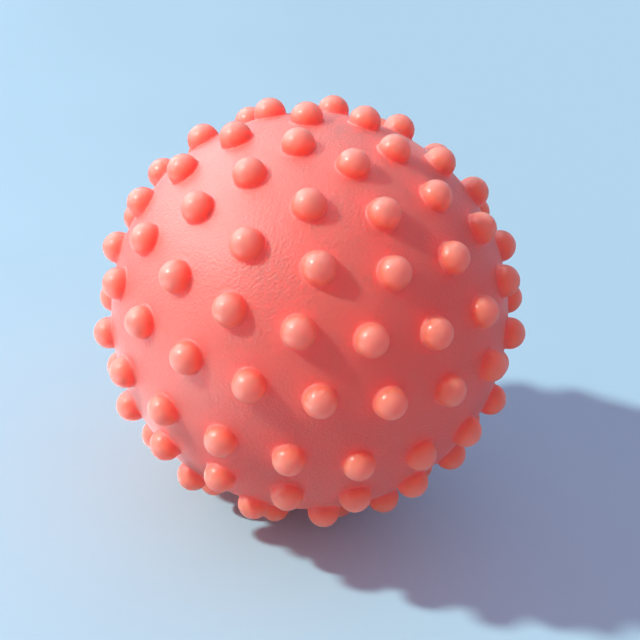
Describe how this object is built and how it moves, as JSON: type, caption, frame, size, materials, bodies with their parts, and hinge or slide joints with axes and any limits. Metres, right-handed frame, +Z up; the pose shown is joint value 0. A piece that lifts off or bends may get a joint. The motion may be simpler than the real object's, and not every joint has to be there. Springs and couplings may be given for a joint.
{
  "type": "sensory ball",
  "caption": "Hollow soft vinyl ball covered all over with rounded nubs, with a plug valve sunk flush into its underside.",
  "frame": {"origin": "centre of the ball", "axes": "+Z up, along the axis round which the rows of nubs run; the valve is at the lowest point, on -Z. +X and +Y are level."},
  "size_m": [0.0983, 0.0986, 0.0972],
  "materials": {
    "soft_vinyl": "soft satin, translucent",
    "firm_vinyl": "satin",
    "stopper_vinyl": "satin"
  },
  "bodies": {
    "ball": {"ball_skin": "soft_vinyl", "valve_sleeve": "firm_vinyl"},
    "stopper": {"valve_stopper": "stopper_vinyl"}
  },
  "joints": [
    {"name": "stopper_pull", "type": "slide", "parent": "ball", "child": "stopper", "axis": [0, 0, -1], "range_m": [0, 0.018]}
  ]
}
